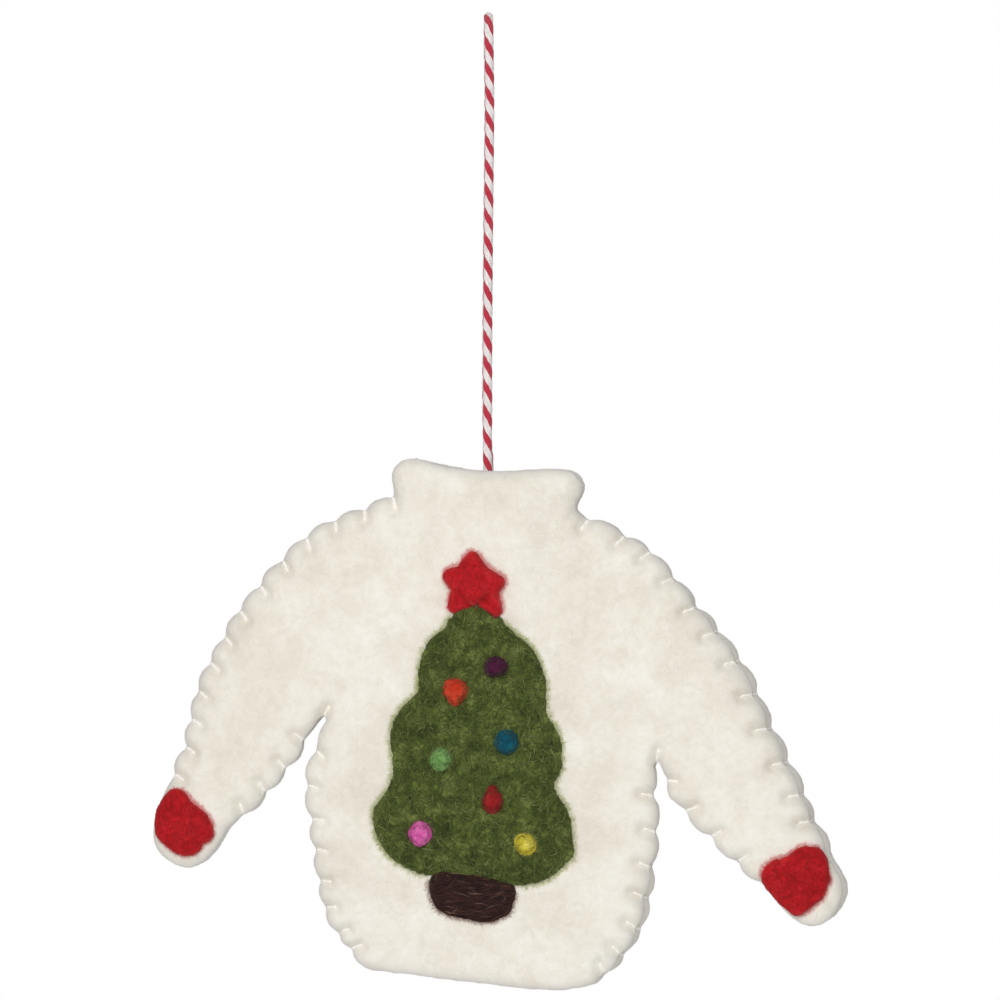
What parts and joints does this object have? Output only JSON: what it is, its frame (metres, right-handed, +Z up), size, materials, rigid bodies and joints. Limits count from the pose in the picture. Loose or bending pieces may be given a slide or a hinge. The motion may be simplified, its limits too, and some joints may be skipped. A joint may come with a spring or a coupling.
{
  "type": "felt jersey christmas ornament",
  "caption": "Hanging felt ornament shaped like a knitted jersey: whip-stitched front and back panels, a needle-felted fir tree with baubles, and a striped twine loop.",
  "frame": {"origin": "where a hook or twig carries the twine loop, inside the loop's top bend", "axes": "+Z up along the hanging twine, +X to the right seen from the front, +Y towards the back panel; the figures face -Y"},
  "size_m": [0.1282, 0.0129, 0.1797],
  "materials": {
    "cream_felt": "thick soft felt with a fuzzy surface",
    "sewing_thread": "matt cotton thread",
    "red_wool": "needle-felted loose wool",
    "green_wool": "needle-felted loose wool",
    "brown_wool": "needle-felted loose wool",
    "purple_wool": "needle-felted loose wool",
    "orange_wool": "needle-felted loose wool",
    "teal_wool": "needle-felted loose wool",
    "light_green_wool": "needle-felted loose wool",
    "pink_wool": "needle-felted loose wool",
    "yellow_wool": "needle-felted loose wool",
    "twine": "matt two-colour twisted cotton"
  },
  "bodies": {
    "loop": {"hanging_loop": "twine"},
    "tails": {"front_cord_tail": "twine", "rear_cord_tail": "twine"},
    "knot": {"cord_knot": "twine"},
    "jersey": {"front_panel": "cream_felt", "back_panel": "cream_felt", "right_shoulder_thread": "sewing_thread", "right_underarm_thread": "sewing_thread", "left_underarm_thread": "sewing_thread", "left_shoulder_thread": "sewing_thread", "tree": "green_wool", "star": "red_wool", "tree_trunk": "brown_wool", "left_cuff_patch": "red_wool", "right_cuff_patch": "red_wool", "purple_bauble": "purple_wool", "orange_bauble": "orange_wool", "teal_bauble": "teal_wool", "light_green_bauble": "light_green_wool", "red_drop_bauble": "red_wool", "pink_bauble": "pink_wool", "yellow_bauble": "yellow_wool"}
  },
  "joints": [
    {"name": "lip_swing", "type": "hinge", "parent": "loop", "child": "tails", "pos_m": [0, 0, -0.0812], "axis": [1, 0, 0], "range_deg": [-40, 40]},
    {"name": "knot_spin", "type": "hinge", "parent": "tails", "child": "knot", "pos_m": [0, -0.00025, -0.0922], "axis": [0, 0, 1], "range_deg": [-180, 180]},
    {"name": "knot_sway", "type": "hinge", "parent": "knot", "child": "jersey", "pos_m": [0, -0.00025, -0.0922], "axis": [0, 1, 0], "range_deg": [-25, 25]}
  ]
}
